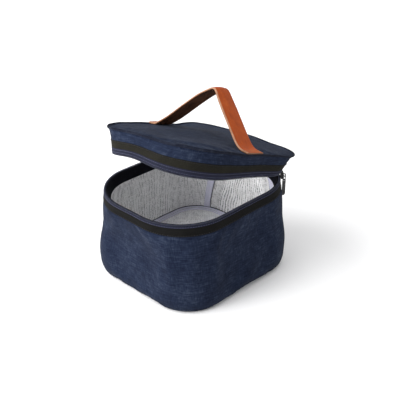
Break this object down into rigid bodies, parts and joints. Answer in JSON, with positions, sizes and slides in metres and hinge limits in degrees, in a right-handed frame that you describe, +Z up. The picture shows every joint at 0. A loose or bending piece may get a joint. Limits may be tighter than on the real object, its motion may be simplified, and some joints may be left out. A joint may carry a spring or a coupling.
{
  "type": "insulated cooler bag",
  "caption": "Small soft-walled insulated lunch cooler bag with a foil lining, a zipped hinged lid and a strap handle.",
  "frame": {"origin": "middle of the base, on the ground", "axes": "+Z up; +X along the handle and the lid's hinge line; -Y is the front, where the lid opens, and +Y is the hinge side"},
  "size_m": [0.174, 0.2079, 0.2213],
  "materials": {
    "navy_fabric": "heathered woven polyester",
    "zip_tape": "dark woven tape",
    "zip_coil": "nylon coil",
    "foil_lining": "embossed aluminised film on cloth",
    "grey_binding": "woven binding tape",
    "white_foam": "closed-cell foam",
    "base_board": "stiff board",
    "tan_strap": "smooth coated leather",
    "strap_back": "dark raw back",
    "dark_metal": "black coated zinc",
    "pull_tab": "black coated zinc"
  },
  "bodies": {
    "bag": {"outer_wall": "navy_fabric", "outer_base": "navy_fabric", "base_board": "base_board", "base_foam": "white_foam", "wall_foam": "white_foam", "base_lining": "foil_lining", "wall_lining": "foil_lining", "base_binding": "grey_binding", "left_seam_binding": "grey_binding", "right_seam_binding": "grey_binding", "rim_facing": "zip_tape", "body_zip_tape": "zip_tape", "body_zip_coil": "zip_coil", "hinge_strip": "zip_tape", "zip_end_stops": "dark_metal"},
    "lid": {"lid_side_wall": "navy_fabric", "lid_zip_tape": "zip_tape", "lid_zip_coil": "zip_coil", "lid_hinge_facing": "zip_tape", "lid_top": "navy_fabric", "lid_piping": "navy_fabric", "lid_foam": "white_foam", "lid_lining": "foil_lining", "lid_wall_lining": "foil_lining", "lid_binding": "grey_binding", "handle_end_left": "tan_strap", "handle_end_right": "tan_strap", "handle_leg_left": "tan_strap", "handle_leg_right": "tan_strap"},
    "handle": {"handle_strap": "tan_strap", "handle_lining": "strap_back"},
    "slider": {"slider_body": "dark_metal", "slider_bridge": "dark_metal"},
    "pull": {"pull_link": "dark_metal", "pull_tab": "pull_tab"}
  },
  "joints": [
    {"name": "lid_hinge", "type": "hinge", "parent": "bag", "child": "lid", "pos_m": [0, 0.0998, 0.1099], "axis": [-1, 0, 0], "range_deg": [-17, 83]},
    {"name": "handle_fold", "type": "hinge", "parent": "lid", "child": "handle", "pos_m": [0, 0.01331, 0.16834], "axis": [1, 0, 0], "range_deg": [-50, 50], "stiffness_Nm_per_rad": 0.02, "deforming": ["handle_leg_left", "handle_leg_right"]},
    {"name": "slider_travel", "type": "hinge", "parent": "bag", "child": "slider", "pos_m": [0.0175, 0.0365, 0.11], "axis": [0, 0, 1], "range_deg": [-45, 6]},
    {"name": "pull_swing", "type": "hinge", "parent": "slider", "child": "pull", "pos_m": [0.06587, 0.08487, 0.11], "axis": [0.7071, -0.7071, 0], "range_deg": [0, 90]}
  ]
}
